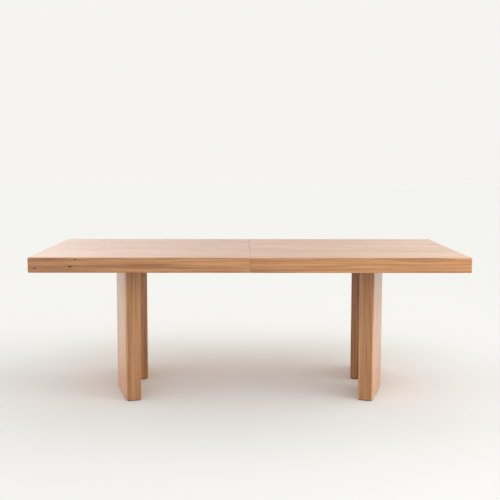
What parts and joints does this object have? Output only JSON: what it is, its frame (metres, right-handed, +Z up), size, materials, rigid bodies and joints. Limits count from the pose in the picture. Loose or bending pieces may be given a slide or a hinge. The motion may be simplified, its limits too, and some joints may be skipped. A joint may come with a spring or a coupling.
{
  "type": "extendable dining table",
  "caption": "Rectangular light oak dining table with angled slab legs; the top parts across its middle, sliding on a hidden frame that stores an extension leaf.",
  "frame": {"origin": "On the floor under the centre of the closed table.", "axes": "+X along the table's length to the right half, -Y towards the front long edge, +Z up."},
  "size_m": [2.2, 1, 0.76],
  "materials": {
    "oak_top": "satin",
    "oak_edge": "satin",
    "oak_leg": "satin",
    "beech": "matte",
    "black_steel": "satin",
    "zinc_steel": "satin",
    "spring_steel": "satin",
    "nylon": "matte",
    "rubber": "matte",
    "felt": "matte"
  },
  "bodies": {
    "extension_frame": {"back_middle_rail": "beech", "frame_bolts": "zinc_steel", "front_middle_rail": "beech", "gear_beam": "black_steel", "leaf_clip_pads": "rubber", "leaf_clip_screws": "zinc_steel", "leaf_clips": "spring_steel", "left_cross_bar": "black_steel", "pinion_axle": "zinc_steel", "pinion_retainer": "zinc_steel", "rail_stops": "nylon", "right_cross_bar": "black_steel"},
    "left_half": {"back_left_leg": "oak_leg", "back_left_leg_plate": "black_steel", "front_left_leg": "oak_leg", "front_left_leg_plate": "black_steel", "latch_pivots": "zinc_steel", "left_back_edge": "oak_edge", "left_back_runner": "beech", "left_corner_blocks": "beech", "left_end_batten": "beech", "left_end_edge": "oak_edge", "left_front_edge": "oak_edge", "left_front_runner": "beech", "left_glides": "felt", "left_leg_bolts": "zinc_steel", "left_plate_screws": "zinc_steel", "left_rack": "nylon", "left_rack_block": "beech", "left_rack_screws": "zinc_steel", "left_runner_screws": "zinc_steel", "left_seam_pins": "beech", "left_top_panel": "oak_top"},
    "right_half": {"back_right_leg": "oak_leg", "back_right_leg_plate": "black_steel", "front_right_leg": "oak_leg", "front_right_leg_plate": "black_steel", "latch_keepers": "zinc_steel", "right_back_edge": "oak_edge", "right_back_runner": "beech", "right_corner_blocks": "beech", "right_end_batten": "beech", "right_end_edge": "oak_edge", "right_front_edge": "oak_edge", "right_front_runner": "beech", "right_glides": "felt", "right_leg_bolts": "zinc_steel", "right_plate_screws": "zinc_steel", "right_rack": "nylon", "right_rack_block": "beech", "right_rack_screws": "zinc_steel", "right_runner_screws": "zinc_steel", "right_top_panel": "oak_top"},
    "sync_pinion": {"sync_pinion": "nylon"},
    "extension_leaf": {"extension_leaf": "oak_top", "leaf_pins": "beech"},
    "front_latch": {"front_latch": "zinc_steel"},
    "back_latch": {"back_latch": "zinc_steel"}
  },
  "joints": [
    {"name": "left_slide", "type": "slide", "parent": "extension_frame", "child": "left_half", "axis": [-1, 0, 0], "range_m": [0, 0.26]},
    {"name": "right_slide", "type": "slide", "parent": "extension_frame", "child": "right_half", "axis": [1, 0, 0], "range_m": [0, 0.26]},
    {"name": "pinion_spin", "type": "hinge", "parent": "extension_frame", "child": "sync_pinion", "pos_m": [0, 0, 0.718], "axis": [0, 0, 1], "range_deg": [0, 745]},
    {"name": "leaf_drop", "type": "slide", "parent": "extension_frame", "child": "extension_leaf", "axis": [0, 0, -1], "range_m": [0, 0.25]},
    {"name": "front_latch_turn", "type": "hinge", "parent": "left_half", "child": "front_latch", "pos_m": [-0.03, -0.34, 0.7294], "axis": [0, 0, -1], "range_deg": [0, 90]},
    {"name": "back_latch_turn", "type": "hinge", "parent": "left_half", "child": "back_latch", "pos_m": [-0.03, 0.34, 0.7294], "axis": [0, 0, 1], "range_deg": [0, 90]}
  ],
  "couplings": [
    {"joint": "right_slide", "follows": "left_slide", "ratio": 1},
    {"joint": "pinion_spin", "follows": "left_slide", "rad_per_m": 50}
  ]
}
